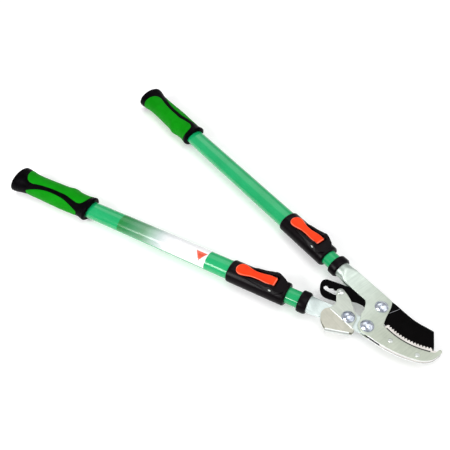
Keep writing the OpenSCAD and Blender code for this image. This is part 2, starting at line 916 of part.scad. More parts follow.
module lever_clamp_pin() {
    color(bright)
        lever_frame()
            clamp_pin();
}

module lever_grip_core() {
    color(black)
        lever_frame()
            grip_core();
}

module lever_grip_panels() {
    color(leaf)
        lever_frame()
            grip_panels(103);
}

module lever_flip_lever() {
    color(orange)
        lever_frame()
            flip_lever();
}

module lever_flip_hub() {
    color(black)
        lever_frame()
            flip_hub();
}

module lever_tube_label() {
    color([0.75, 0.78, 0.6])
        lever_frame()
            tube_label();
}

front_side_plate();
back_side_plate();
anvil_insert();
anvil_rivets();
blade_pivot_bolt();
blade_pivot_nut();
lever_pivot_bolt();
lever_pivot_nut();
anvil_inner_tube();
anvil_tube_collar();
anvil_tube_rivet();
anvil_end_plug();
blade();
lever_front_plate();
lever_back_plate();
pawl_pivot_bolt();
pawl_pivot_nut();
lever_inner_tube();
lever_tube_collar();
lever_tube_rivet();
lever_end_plug();
pawl_stirrup();
pawl_pin();
pawl_spring();
anvil_outer_tube();
anvil_clamp_body();
anvil_clamp_liner();
anvil_clamp_pad();
anvil_clamp_pin();
anvil_grip_core();
anvil_grip_panels();
anvil_flip_lever();
anvil_flip_hub();
lever_outer_tube();
lever_clamp_body();
lever_clamp_liner();
lever_clamp_pad();
lever_clamp_pin();
lever_grip_core();
lever_grip_panels();
lever_flip_lever();
lever_flip_hub();
lever_tube_label();
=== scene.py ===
import json
import math

import bmesh
import bpy
from mathutils import Matrix, Vector


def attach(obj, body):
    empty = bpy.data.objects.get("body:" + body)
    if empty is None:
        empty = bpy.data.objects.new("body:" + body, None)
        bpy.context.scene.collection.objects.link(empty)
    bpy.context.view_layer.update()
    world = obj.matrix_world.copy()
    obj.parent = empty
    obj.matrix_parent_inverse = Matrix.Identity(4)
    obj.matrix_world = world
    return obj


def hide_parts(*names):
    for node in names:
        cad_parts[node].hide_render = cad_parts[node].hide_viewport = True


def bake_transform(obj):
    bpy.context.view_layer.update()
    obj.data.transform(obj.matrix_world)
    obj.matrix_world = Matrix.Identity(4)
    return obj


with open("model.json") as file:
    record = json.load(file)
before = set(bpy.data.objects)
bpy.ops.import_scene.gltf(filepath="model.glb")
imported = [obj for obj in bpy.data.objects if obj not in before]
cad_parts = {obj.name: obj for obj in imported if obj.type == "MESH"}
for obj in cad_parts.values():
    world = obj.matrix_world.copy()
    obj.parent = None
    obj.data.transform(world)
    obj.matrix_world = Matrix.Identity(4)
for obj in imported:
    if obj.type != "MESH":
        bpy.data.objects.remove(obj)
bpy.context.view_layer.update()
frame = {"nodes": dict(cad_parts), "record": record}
scene = bpy.context.scene

# ---- places: local millimetres in, metres of the row frame out ----

# The blade pivot in the row frame, each handle's own zero from that pivot, and the turn of the lever handle.
ORIGIN = Vector((245.2, 132.4, 18.0))
ANVIL_ZERO = (-573.9, 4.4)
LEVER_ZERO = (-520.5, -270.1)
TURN = math.radians(24)


def head(p):
    """From millimetres round the blade pivot to the row frame."""
    return (Vector(p) + ORIGIN) / 1000


def anvil_in_head(p):
    """From the anvil handle's station, side and height to millimetres round the blade pivot."""
    return p[0] + ANVIL_ZERO[0], p[1] + ANVIL_ZERO[1], p[2]


def lever_in_head(p):
    """The same for the lever handle, which lies turned."""
    s, n, z = p
    x = LEVER_ZERO[0] + s * math.cos(TURN) - n * math.sin(TURN)
    y = LEVER_ZERO[1] + s * math.sin(TURN) + n * math.cos(TURN)
    return x, y, z


def anvil(p):
    return head(anvil_in_head(p))


def lever(p):
    return head(lever_in_head(p))


def anvil_home(v):
    """From the row frame back to the anvil handle's own millimetres."""
    p = Vector(v) * 1000 - ORIGIN
    return Vector((p.x - ANVIL_ZERO[0], p.y - ANVIL_ZERO[1], p.z))


def lever_home(v):
    """From the row frame back to the lever handle's own millimetres."""
    p = Vector(v) * 1000 - ORIGIN
    x, y = p.x - LEVER_ZERO[0], p.y - LEVER_ZERO[1]
    return Vector((x * math.cos(TURN) + y * math.sin(TURN), y * math.cos(TURN) - x * math.sin(TURN), p.z))


# ---- materials ----


def new_material(name):
    mat = bpy.data.materials.new(name)
    mat.use_nodes = True
    tree = mat.node_tree
    return mat, tree, tree.nodes["Principled BSDF"]


def link(tree, a, out, b, socket):
    tree.links.new(a.outputs[out], b.inputs[socket])


def noise(tree, scale, detail, stretch=None, turn=0.0, rough=0.55):
    """Noise in the piece's own coordinates, stretched along its axes and turned round Z."""
    tex = tree.nodes.new("ShaderNodeTexNoise")
    tex.inputs["Scale"].default_value = scale
    tex.inputs["Detail"].default_value = detail
    tex.inputs["Roughness"].default_value = rough
    coord = tree.nodes.new("ShaderNodeTexCoord")
    mapping = tree.nodes.new("ShaderNodeMapping")
    if stretch:
        mapping.inputs["Scale"].default_value = stretch
    mapping.inputs["Rotation"].default_value = (0, 0, turn)
    link(tree, coord, "Object", mapping, "Vector")
    link(tree, mapping, "Vector", tex, "Vector")
    return tex


def ramp(tree, source, stops, out="Fac"):
    """A colour by a source's value, through stops of a value and a colour."""
    node = tree.nodes.new("ShaderNodeValToRGB")
    bar = node.color_ramp
    while len(bar.elements) < len(stops):
        bar.elements.new(0.5)
    for element, (pos, color) in zip(bar.elements, stops):
        element.position = pos
        element.color = (*color, 1)
    tree.links.new(source.outputs[out], node.inputs["Fac"])
    return node


def spread(tree, source, low, high, lo_in=0.3, hi_in=0.7, out="Fac"):
    """A source's range lo_in to hi_in, stretched over low to high."""
    node = tree.nodes.new("ShaderNodeMapRange")
    node.inputs["From Min"].default_value = lo_in
    node.inputs["From Max"].default_value = hi_in
    node.inputs["To Min"].default_value = low
    node.inputs["To Max"].default_value = high
    tree.links.new(source.outputs[out], node.inputs["Value"])
    return node


def bump(tree, height, strength, distance, under=None):
    node = tree.nodes.new("ShaderNodeBump")
    node.inputs["Strength"].default_value = strength
    node.inputs["Distance"].default_value = distance
    link(tree, height, "Fac", node, "Height")
    if under:
        link(tree, under, "Normal", node, "Normal")
    return node


def multiply(tree, base, over, share):
    """The base colour multiplied by another one, by a share of its strength."""
    mix = tree.nodes.new("ShaderNodeMix")
    mix.data_type = "RGBA"
    mix.blend_type = "MULTIPLY"
    mix.inputs["Factor"].default_value = share
    tree.links.new(base, mix.inputs[6])
    tree.links.new(over, mix.inputs[7])
    return mix.outputs[2]


def surface(name, dark, light, rough, metallic=0.0, grain=900.0, depth=0.00004, stretch=None, turn=0.0,
            blotch=60.0, coat=0.0, coat_rough=0.08, specular=0.5, fine=0.3, painted_light_along_x=None, streak=0.0):
    """A finish whose colour drifts from dark to light in blotches, with grain in its roughness and relief.

    streak adds rolling lines along the stretched grain. painted_light_along_x gives two places along X and
    the tints at the first and near it, which fade to none at the second; these tints are painted light, a
    highlight laid into the colour.
    """
    mat, tree, shader = new_material(name)
    patch = noise(tree, blotch, 5.0)
    tint = ramp(tree, patch, [(0.32, dark), (0.68, light)]).outputs["Color"]
    if streak:
        lines = noise(tree, grain * 0.45, 8.0, [0.06 if k < 1 else 1 for k in stretch], turn, 0.7)
        worn = ramp(tree, lines, [(0.36, (0.62, 0.64, 0.63)), (0.60, (1, 1, 1))])
        tint = multiply(tree, tint, worn.outputs["Color"], streak)
    if painted_light_along_x:
        first, second, at_first, near_first = painted_light_along_x
        coord = tree.nodes.new("ShaderNodeTexCoord")
        split = tree.nodes.new("ShaderNodeSeparateXYZ")
        link(tree, coord, "Object", split, "Vector")
        along = ramp(tree, spread(tree, split, 0, 1, first, second, "X"),
                     [(0, at_first), (0.32, near_first), (1, (1, 1, 1))], "Result")
        tint = multiply(tree, tint, along.outputs["Color"], 1)
    tree.links.new(tint, shader.inputs["Base Color"])
    fine_grain = noise(tree, grain, 6.0, stretch, turn)
    link(tree, spread(tree, fine_grain, rough[0], rough[1]), "Result", shader, "Roughness")
    waves = bump(tree, patch, 0.25, depth * 3)
    link(tree, bump(tree, fine_grain, fine, depth, waves), "Normal", shader, "Normal")
    shader.inputs["Metallic"].default_value = metallic
    shader.inputs["Coat Weight"].default_value = coat
    shader.inputs["Coat Roughness"].default_value = coat_rough
    shader.inputs["Specular IOR Level"].default_value = specular
    return mat


LOOKS = {
    "stamped_steel": dict(dark=(0.475, 0.52, 0.435), light=(0.56, 0.60, 0.51), rough=(0.38, 0.50),
                          metallic=0.9, grain=1400, depth=0.00002, stretch=(1, 0.35, 1), turn=0.4,
                          blotch=45, streak=0.32,
                          # The entry below is painted light: the steel is tinted blue-white at the arm and
                          # brightened most where the arm meets the plate, a painted highlight fading out
                          # towards the head.
                          painted_light_along_x=(0.168, 0.27, (0.92, 0.97, 1.06), (1.38, 1.44, 1.54))),
    "lever_steel": dict(dark=(0.66, 0.75, 0.73), light=(0.76, 0.84, 0.82), rough=(0.40, 0.52), metallic=0.7,
                        grain=1400, depth=0.00002, stretch=(0.35, 1, 1), turn=TURN, blotch=45, streak=0.32),
    "pawl_steel": dict(dark=(0.54, 0.585, 0.52), light=(0.63, 0.67, 0.60), rough=(0.36, 0.48), metallic=0.9,
                       grain=1400, depth=0.00002, stretch=(0.5, 1, 1), turn=0.6, blotch=55, streak=0.3),
    # Painted highlight: the stirrup's rolled fold is the same steel, tinted lighter for the white ground it
    # reflects.
    "pawl_roll_painted_highlight": dict(dark=(0.62, 0.66, 0.63), light=(0.76, 0.79, 0.76), rough=(0.26, 0.38), metallic=0.8,
                      grain=1400, depth=0.00002, stretch=(0.5, 1, 1), turn=0.6, blotch=70, streak=0.3),
    # Painted reflection: the cheeks are the same steel as the ears, tinted warmer and darker for the way an
    # angled flap reflects.
    "pawl_cheek_painted_reflection": dict(dark=(0.50, 0.50, 0.42), light=(0.60, 0.59, 0.51), rough=(0.40, 0.52), metallic=0.85,
                      grain=1400, depth=0.00002, stretch=(0.5, 1, 1), turn=0.6, blotch=70, streak=0.3),
    # Painted highlight: a paler steel for the plates' edges and the stirrup's crease, standing in for the
    # light they catch.
    "painted_highlight_edge": dict(dark=(0.80, 0.82, 0.81), light=(0.92, 0.93, 0.92), rough=(0.30, 0.44), metallic=0.45,
                        grain=1400, depth=0.00002, blotch=90),
    # Painted shade: a near-black steel put where the gap between the plates and the groove beside the anvil's
    # teeth lie in shadow.
    "painted_shade_dark": dict(dark=(0.006, 0.006, 0.006), light=(0.03, 0.03, 0.028), rough=(0.4, 0.6),
                          grain=1200, depth=0.00003, blotch=80, specular=0.2),
    "anvil_steel": dict(dark=(0.66, 0.63, 0.59), light=(0.78, 0.75, 0.71), rough=(0.36, 0.50), metallic=0.6,
                        grain=1200, depth=0.00003, blotch=90),
    "rivet_steel": dict(dark=(0.58, 0.62, 0.58), light=(0.74, 0.77, 0.75), rough=(0.26, 0.38), metallic=1.0,
                        grain=1600, depth=0.00002, blotch=160),
    "dome_chrome": dict(dark=(0.34, 0.39, 0.50), light=(0.82, 0.86, 0.92), rough=(0.10, 0.18), metallic=0.85,
                        grain=1500, depth=0.0005, blotch=300, fine=0.015),
    "spring_steel": dict(dark=(0.30, 0.31, 0.33), light=(0.44, 0.45, 0.47), rough=(0.30, 0.45), metallic=1.0),
    "blade_coating": dict(dark=(0.0006, 0.0005, 0.0005), light=(0.0020, 0.0016, 0.0018), rough=(0.42, 0.60),
                          grain=1800, depth=0.00003, blotch=80, specular=0.03),
    "tube_green": dict(dark=(0.004, 0.335, 0.108), light=(0.008, 0.385, 0.132), rough=(0.22, 0.30),
                       grain=700, depth=0.000012, stretch=(0.12, 1, 1), turn=0.2, blotch=30,
                       coat=0.75, coat_rough=0.05, specular=0.12),
    "black_plastic": dict(dark=(0.0016, 0.0007, 0.0013), light=(0.0040, 0.0022, 0.0036), rough=(0.24, 0.36),
                          grain=2200, depth=0.00005, blotch=140, specular=0.09),
    "liner_plastic": dict(dark=(0.28, 0.28, 0.29), light=(0.36, 0.36, 0.37), rough=(0.4, 0.55)),
    "pad_rubber": dict(dark=(0.02, 0.02, 0.02), light=(0.035, 0.035, 0.035), rough=(0.6, 0.8)),
    "grip_black": dict(dark=(0.0008, 0.0006, 0.0009), light=(0.0026, 0.0018, 0.0030), rough=(0.32, 0.46),
                       grain=2400, depth=0.00006, blotch=120, specular=0.02),
    "grip_green": dict(dark=(0.0006, 0.215, 0.0012), light=(0.002, 0.265, 0.0030), rough=(0.50, 0.66),
                       grain=2600, depth=0.00008, blotch=60, specular=0.06),
    "lever_orange": dict(dark=(0.80, 0.032, 0.002), light=(0.90, 0.052, 0.005), rough=(0.30, 0.42),
                         grain=1500, depth=0.00003, blotch=70, specular=0.12),
    # Painted highlight: a paler orange along the flip lever's upper edge, standing in for the light its
    # rounded edge catches.
    "lever_rim_painted_highlight": dict(dark=(0.85, 0.12, 0.055), light=(0.95, 0.17, 0.085), rough=(0.26, 0.36),
                      grain=1500, depth=0.00002, blotch=70, specular=0.4),
}
MATERIALS = {name: surface(name, **look) for name, look in LOOKS.items()}


# The label's start along the lever handle in millimetres, and its length in metres.
LABEL_START, LABEL_LENGTH = 214, 0.146


def label_material():
    """Printed film: olive green fading to white along the tube, with a plain red triangle near its end."""
    mat, tree, shader = new_material("label_film")
    coord = tree.nodes.new("ShaderNodeTexCoord")
    axis = Vector((math.cos(TURN), math.sin(TURN), 0))
    along = tree.nodes.new("ShaderNodeVectorMath")
    along.operation = "DOT_PRODUCT"
    along.inputs[1].default_value = axis
    link(tree, coord, "Object", along, 0)
    start = lever((LABEL_START, 0, 0)).dot(axis)
    span = spread(tree, along, 0, 1, start, start + LABEL_LENGTH, "Value")
    fade = ramp(tree, span, [(0.0, (0.008, 0.20, 0.034)), (0.10, (0.022, 0.215, 0.065)),
                             (0.20, (0.075, 0.265, 0.13)), (0.29, (0.125, 0.30, 0.165)),
                             (0.37, (0.27, 0.44, 0.33)), (0.46, (0.47, 0.57, 0.54)),
                             (0.54, (0.70, 0.72, 0.73)), (0.66, (0.81, 0.81, 0.83)),
                             (1.0, (0.84, 0.82, 0.83))], "Result")
    mottle = noise(tree, 220, 5.0)
    faint = ramp(tree, mottle, [(0.3, (0.84, 0.86, 0.84)), (0.6, (1, 1, 1))])
    film = multiply(tree, fade.outputs["Color"], faint.outputs["Color"], 0.35)
    inside = None
    corners = [lever((341.3, 1.6, 0)), lever((350.6, -11.6, 0)), lever((359.6, 1.6, 0))]
    for a, b in zip(corners, corners[1:] + corners[:1]):
        side = tree.nodes.new("ShaderNodeVectorMath")
        side.operation = "DOT_PRODUCT"
        across = Vector((a.y - b.y, b.x - a.x, 0)).normalized()
        side.inputs[1].default_value = across
        link(tree, coord, "Object", side, 0)
        edge = across.dot(a)
        step = spread(tree, side, 0, 1, edge, edge + 0.0004, "Value")
        if inside:
            both = tree.nodes.new("ShaderNodeMath")
            both.operation = "MULTIPLY"
            tree.links.new(inside.outputs[0], both.inputs[0])
            tree.links.new(step.outputs["Result"], both.inputs[1])
            inside = both
        else:
            inside = step
    red = ramp(tree, mottle, [(0.3, (0.60, 0.07, 0.03)), (0.65, (0.80, 0.13, 0.07))])
    mark = tree.nodes.new("ShaderNodeMix")
    mark.data_type = "RGBA"
    tree.links.new(inside.outputs[0], mark.inputs["Factor"])
    tree.links.new(film, mark.inputs[6])
    tree.links.new(red.outputs["Color"], mark.inputs[7])
    tree.links.new(mark.outputs[2], shader.inputs["Base Color"])
    link(tree, spread(tree, mottle, 0.18, 0.30), "Result", shader, "Roughness")
    link(tree, bump(tree, mottle, 0.1, 0.00002), "Normal", shader, "Normal")
    shader.inputs["Coat Weight"].default_value = 0.3
    shader.inputs["Specular IOR Level"].default_value = 0.3
    return mat


MATERIALS["label_film"] = label_material()

# ---- carried-over CAD nodes: their own mesh, with edges softened and a finish ----

SLOT_OF = {part["node"]: part["material_slot"] for part in frame["record"]["subparts"]}


def soften(obj, width):
    """Welds doubled points, rounds the edges off by a width in millimetres, and evens the shading."""
    weld = obj.modifiers.new("weld", "WELD")
    weld.merge_threshold = 0.000002
    if width:
        bevel = obj.modifiers.new("bevel", "BEVEL")
        bevel.limit_method = "ANGLE"
        bevel.angle_limit = math.radians(40)
        bevel.width = width / 1000
        bevel.segments = 2
    even = obj.modifiers.new("even", "WEIGHTED_NORMAL")
    even.keep_sharp = True
    even.weight = 80


def shade(mesh, angle=40):
    mesh.polygons.foreach_set("use_smooth", [True] * len(mesh.polygons))
    mesh.set_sharp_from_angle(angle=math.radians(angle))


# How far an edge is rounded off, in millimetres, by finish.
EDGE = {"stamped_steel": 0.35, "lever_steel": 0.3, "pawl_steel": 0.35, "anvil_steel": 0.15,
        "rivet_steel": 0.15, "dome_chrome": 0.25, "blade_coating": 0.15, "black_plastic": 0.6,
        "grip_black": 0.3, "grip_green": 0.3, "lever_orange": 0.4}
for node, obj in frame["nodes"].items():
    slot = SLOT_OF[node]
    obj.data.materials.clear()
    obj.data.materials.append(MATERIALS[slot])
    shade(obj.data)
    soften(obj, EDGE.get(slot, 0))

# ---- pieces built here ----


def built(name, mesh, body, slot, stands_for, angle, finish=None):
    """Puts a mesh on its body in place of CAD nodes, shaded smooth up to an angle in degrees.

    Its finish is its slot's, unless another one is named.
    """
    obj = bpy.data.objects.new(name, mesh)
    scene.collection.objects.link(obj)
    mesh.materials.clear()
    mesh.materials.append(MATERIALS[finish or slot])
    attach(obj, body)
    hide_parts(*stands_for)
    shade(mesh, angle)
    soften(obj, 0)
    return obj


def mesh_of(name, verts, faces):
    mesh = bpy.data.meshes.new(name)
    mesh.from_pydata([tuple(v) for v in verts], [], faces)
    work = bmesh.new()
    work.from_mesh(mesh)
    bmesh.ops.remove_doubles(work, verts=work.verts, dist=0.000001)
    bmesh.ops.recalc_face_normals(work, faces=work.faces)
    work.to_mesh(mesh)
    work.free()
    return mesh


def joined(name, meshes):
    work = bmesh.new()
    for mesh in meshes:
        work.from_mesh(mesh)
    out = bpy.data.meshes.new(name)
    work.to_mesh(out)
    work.free()
    return out


def loft(name, rings, place):
    """Closed skin over rings of local points with the same count."""
    count = len(rings[0])
    verts = [place(p) for ring in rings for p in ring]
    faces = []
    for k in range(len(rings) - 1):
        for i in range(count):
            j = (i + 1) % count
            faces.append((k * count + i, k * count + j, (k + 1) * count + j, (k + 1) * count + i))
    faces.append(tuple(range(count - 1, -1, -1)))
    faces.append(tuple((len(rings) - 1) * count + i for i in range(count)))
    return mesh_of(name, verts, faces)


def smooth_run(points, step=1.2):
    """Points about a step apart on a smooth line through the given points, without the last one."""
    pts = [Vector(p) for p in points]
    line = []
    for i in range(len(pts) - 1):
        p0, p1, p2, p3 = pts[max(i - 1, 0)], pts[i], pts[i + 1], pts[min(i + 2, len(pts) - 1)]
        n = max(1, int((p2 - p1).length / step))
        for k in range(n):
            t = k / n
            line.append(0.5 * (2 * p1 + (p2 - p0) * t + (2 * p0 - 5 * p1 + 4 * p2 - p3) * t * t
                               + (3 * p1 - p0 - 3 * p2 + p3) * t ** 3))
    return line


def outline(*runs):
    """A closed outline of smooth runs; each run ends where the next one starts, at a corner."""
    line = []
    for i, run in enumerate(runs):
        nxt = runs[(i + 1) % len(runs)][0]
        points = list(run) if Vector(run[-1]) == Vector(nxt) else [*run, nxt]
        line += smooth_run(points)
    return line


def circle(c, r, n=48):
    return [Vector((c[0] + r * math.cos(2 * math.pi * i / n), c[1] + r * math.sin(2 * math.pi * i / n)))
            for i in range(n)]


def arc(c, r, a0, a1, n):
    turns = [math.radians(a0 + (a1 - a0) * i / n) for i in range(n + 1)]
    return [(c[0] + r * math.cos(a), c[1] + r * math.sin(a)) for a in turns]


def plate(name, line, holes, z0, z1, rounding, place):
    """A flat plate with rounded edges between two heights, as a mesh in the row frame."""
    curve = bpy.data.curves.new(name, "CURVE")
    curve.dimensions = "2D"
    curve.fill_mode = "BOTH"
    curve.extrude = (z1 - z0) / 2 - rounding
    curve.bevel_depth = rounding
    curve.bevel_resolution = 2
    curve.offset = -rounding
    for points in [line, *holes]:
        spline = curve.splines.new("POLY")
        spline.points.add(len(points) - 1)
        for point, p in zip(spline.points, points):
            point.co = (p[0], p[1], 0, 1)
        spline.use_cyclic_u = True
    temp = bpy.data.objects.new(name, curve)
    scene.collection.objects.link(temp)
    bpy.context.view_layer.update()
    made = bpy.data.meshes.new_from_object(temp.evaluated_get(bpy.context.evaluated_depsgraph_get()))
    bpy.data.objects.remove(temp)
    verts = [place((v.co.x, v.co.y, v.co.z + (z0 + z1) / 2)) for v in made.vertices]
    return mesh_of(name, verts, [tuple(p.vertices) for p in made.polygons])


def under(place):
    """The same place, mirrored below the tool's middle plane."""
    return lambda p: place((p[0], p[1], -p[2]))


# Grips: a black core with two soft green panels, both ends cut with a forward lean.
GRIP_START, GRIP_END, GRIP_A, GRIP_B = 9.0, 158.0, 17.3, 15.8
GRIP_LEAN, LEAN_HEIGHT = 0.34, 12
GRIP_UNDERSIDE = -18.0
GROOVES, GROOVE_DEPTH = (13.4, 16.4, 19.4, 22.4, 151.5), 0.5
ROUND_POINTS = 96


def ease(t):
    """Smooth step from 0 to 1."""
    t = min(1.0, max(0.0, t))
    return t * t * (3 - 2 * t)


def grip_size(s):
    """The grip's two half widths at station s, and how far its middle is shifted sideways."""
    butt = math.exp(-((s - 13) / 17) ** 2)
    front = 2.2 * math.exp(-((s - 155) / 7) ** 2)
    swell = 0.9 * math.exp(-((s - 98) / 30) ** 2)
    bulge = 2.4 * math.exp(-((s - 112) / 9) ** 2)
    nose = 2.6 * (1 - (s - GRIP_START) / 3) ** 2 if s < GRIP_START + 3 else 0
    tail = 1.2 * ((s - GRIP_END + 3) / 3) ** 2 if s > GRIP_END - 3 else 0
    trim = front - nose - tail
    wide = GRIP_A + 4.5 * butt + swell + bulge / 2 + trim
    high = GRIP_B + 3.2 * butt + swell * 0.7 + trim
    return wide, high, bulge / 2


def grip_point(s, f, lift):
    """A point on the grip at station s and angle f, flat underneath and leaning at both ends."""
    a, b, shift = grip_size(s)
    z = max(GRIP_UNDERSIDE, (b + lift) * math.sin(f))
    lean = 1 - ease((s - 22) / 34) if s < 90 else ease((s - 118) / 26)
    return s + GRIP_LEAN * lean * (z - LEAN_HEIGHT), shift + (a + lift) * math.cos(f), z


def grip_core(name, place, body, node):
    """The grip's black core, with fine grooves near its ends and a mouth for the tube in front."""
    stations = [GRIP_START + d for d in (0.0, 0.25, 0.6, 1.0, 1.5, 2.1, 2.8)]
    stations += [12.6 + 1.1 * i for i in range(131)]
    stations = [s for s in stations if s < GRIP_END - 2.6]
    stations += [GRIP_END - d for d in (2.4, 1.8, 1.2, 0.7, 0.3, 0.0)]
    turns = [2 * math.pi * i / ROUND_POINTS for i in range(ROUND_POINTS)]
    rings = []
    for s in stations:
        dip = sum(GROOVE_DEPTH * math.exp(-((s - c) / 0.7) ** 2) for c in GROOVES)
        rings.append([grip_point(s, f, -dip) for f in turns])
    mouth = [(GRIP_END + GRIP_LEAN * (11.3 * math.sin(f) - LEAN_HEIGHT), 14.1 * math.cos(f),
              11.4 * math.sin(f)) for f in turns]
    lip = [(p[0], p[1] * 1.05, p[2] * 1.05) for p in mouth]
    depth = [(p[0] - 5, p[1], p[2]) for p in mouth]
    rings += [lip, mouth, depth]
    built(name, loft(name, rings, place), body, "grip_black", [node], 50)


def inner_limit(s, mid):
    """How far round, in degrees, the panel on the side of the other handle reaches at station s."""
    base = min(mid + 15 * ((s - 91) / 44) ** 2, mid + 15)
    rear = max(0.0, 1 - ((46 - s) / 22) ** 2.5) ** 0.4 if s < 46 else 1
    fore = max(0.0, 1 - ((s - 134) / 16) ** 3) ** (1 / 3) if s > 134 else 1
    return base * rear * fore


def outer_limit(s, mid):
    """Where, in degrees, the panel on the outer side starts at station s."""
    return min(179.0, mid + 18 + 45 * (abs(s - 90) / 52.5) ** 2.2)


def panel_mesh(name, place, s0, s1, limits):
    """Soft panel whose edge rolls down into the core all round."""
    long_steps, round_steps = 110, 56
    roll, sink, rise = 1.7, 0.75, 1.3
    verts, faces = [], []
    for k in range(long_steps + 1):
        t = k / long_steps
        s = s0 + (s1 - s0) * (0.5 * t + 0.5 * (0.5 - 0.5 * math.cos(math.pi * t)))
        f0, f1 = [math.radians(f) for f in limits(s)]
        radius = grip_size(s)[0]
        for i in range(round_steps + 1):
            u = i / round_steps
            u = 0.6 * u + 0.4 * (0.5 - 0.5 * math.cos(math.pi * u))
            f = f0 + (f1 - f0) * u
            edge = min((f - f0) * radius, (f1 - f) * radius, s - s0 + 0.4, s1 - s + 0.4)
            x = min(1.0, max(0.0, edge / roll))
            lift = rise * math.sqrt(1 - (1 - x) ** 2) - sink
            verts.append(place(grip_point(s, f, lift)))
    row = round_steps + 1
    for k in range(long_steps):
        for i in range(round_steps):
            a = k * row + i
            faces.append((a, a + 1, a + row + 1, a + row))
    return mesh_of(name, verts, faces)


def grip_panels(name, place, body, node, mid):
    """Both panels of a grip; mid is the inner panel's reach in degrees halfway along."""
    inner = panel_mesh(name, place, 24.2, 149.9, lambda s: (-inner_limit(s, mid), inner_limit(s, mid)))
    outer = panel_mesh(name, place, 38.2, 141.6, lambda s: (outer_limit(s, mid), 360 - outer_limit(s, mid)))
    built(name, joined(name, [inner, outer]), body, "grip_green", [node], 60)


def anvil_mirror(p):
    return anvil((p[0], -p[1], p[2]))


grip_core("anvil_grip", anvil_mirror, "anvil_handle", "anvil_grip_core")
grip_panels("anvil_grip_soft", anvil_mirror, "anvil_handle", "anvil_grip_panels", 87)
grip_core("lever_grip", lever, "lever_handle", "lever_grip_core")
grip_panels("lever_grip_soft", lever, "lever_handle", "lever_grip_panels", 103)

# Flip levers: a waisted bar with a round thumb end, a square base and rolled edges.
THUMB_AT, THUMB_HALF, WAIST_HALF = 412.8, 8.8, 5.3
BASE_HALF, BASE_ROUND_AT, BASE_ROUND = 6.9, 458.3, 2.2
BAR_UNDERSIDE, BAR_DEPTH = 12.75, 2.3
BAR_TOP = [(403, 13.6), (406, 14.7), (412, 15.3), (424, 15.3), (434, 15.6), (444, 16.7), (452, 17.5),
           (461, 17.5)]
# The painted highlight along the bar's upper edge: bands along the bar at both ends, a band of its half
# width, and how far down it reaches.
HIGHLIGHT_ENDS, HIGHLIGHT_SIDE, HIGHLIGHT_DROP = ((404.35, 405.6), (459.0, 460.2)), (0.83, 0.985), 1.3


def lever_half(s):
    """Half the bar's width at station s."""
    if s < THUMB_AT:
        return math.sqrt(max(0.0, THUMB_HALF ** 2 - (s - THUMB_AT) ** 2))
    if s < 433:
        return THUMB_HALF - (THUMB_HALF - WAIST_HALF) * ease((s - THUMB_AT) / 17.7)
    if s < BASE_ROUND_AT:
        return WAIST_HALF + (BASE_HALF - WAIST_HALF) * ease((s - 435) / 17)
    return BASE_HALF - 2.4 * (1 - math.sqrt(max(0.0, 1 - ((s - BASE_ROUND_AT) / BASE_ROUND) ** 2)))


def lever_top(s):
    """Height of the bar's top at station s."""
    for (a, x), (b, y) in zip(BAR_TOP, BAR_TOP[1:]):
        if s <= b:
            return x + (y - x) * (s - a) / (b - a)
    return BAR_TOP[-1][1]


def flip_lever(name, place, home, body, node):
    """The bar as a loft, with a painted highlight, a paler orange band, along its upper edge."""
    tip = THUMB_AT - THUMB_HALF
    stations = [tip + THUMB_HALF * (1 - math.cos(math.pi / 2 * i / 14)) for i in range(1, 15)]
    stations += [414 + 1.5 * i for i in range(30)]
    stations += [BASE_ROUND_AT + d for d in (0, 0.6, 1.1, 1.5, 1.8, 2.05, 2.17, 2.2)]
    rings = []
    for s in stations:
        w = lever_half(s)
        drop = 0.5 * max(0.0, (s - 459.3) / 1.2) ** 2
        top, low = lever_top(s) - drop, max(BAR_UNDERSIDE, lever_top(s) - BAR_DEPTH)
        ring = []
        for i in range(25):
            c = math.cos(math.pi * i / 24)
            u = math.copysign(abs(c) ** 0.32, c)
            rise = (1 - abs(u) ** 7) ** (1 / 3.2)
            crown = 0.35 * (1 - u * u)
            ring.append((s, w * u, low + 0.6 + (top - low - 0.95) * rise + crown))
        ring += [(s, -w * 0.93, low), (s, w * 0.93, low)]
        rings.append(ring)
    obj = built(name, loft(name, rings, place), body, "lever_orange", [node], 55)
    obj.data.materials.append(MATERIALS["lever_rim_painted_highlight"])
    for face in obj.data.polygons:
        spots = [home(obj.data.vertices[i].co) for i in face.vertices]
        s = sum(p[0] for p in spots) / len(spots)
        u = abs(sum(p[1] for p in spots) / len(spots)) / lever_half(min(s, 460.4))
        # Faces in these bands near the top take the painted highlight.
        highlit = HIGHLIGHT_SIDE[0] < u < HIGHLIGHT_SIDE[1] or any(a < s < b for a, b in HIGHLIGHT_ENDS)
        if highlit and all(p[2] > lever_top(p[0]) - HIGHLIGHT_DROP for p in spots):
            face.material_index = 1


flip_lever("anvil_flip_bar", anvil, anvil_home, "anvil_flip", "anvil_flip_lever")
flip_lever("lever_flip_bar", lever, lever_home, "lever_flip", "lever_flip_lever")

# Stamped arms: an oval half socket that flattens into a plate.


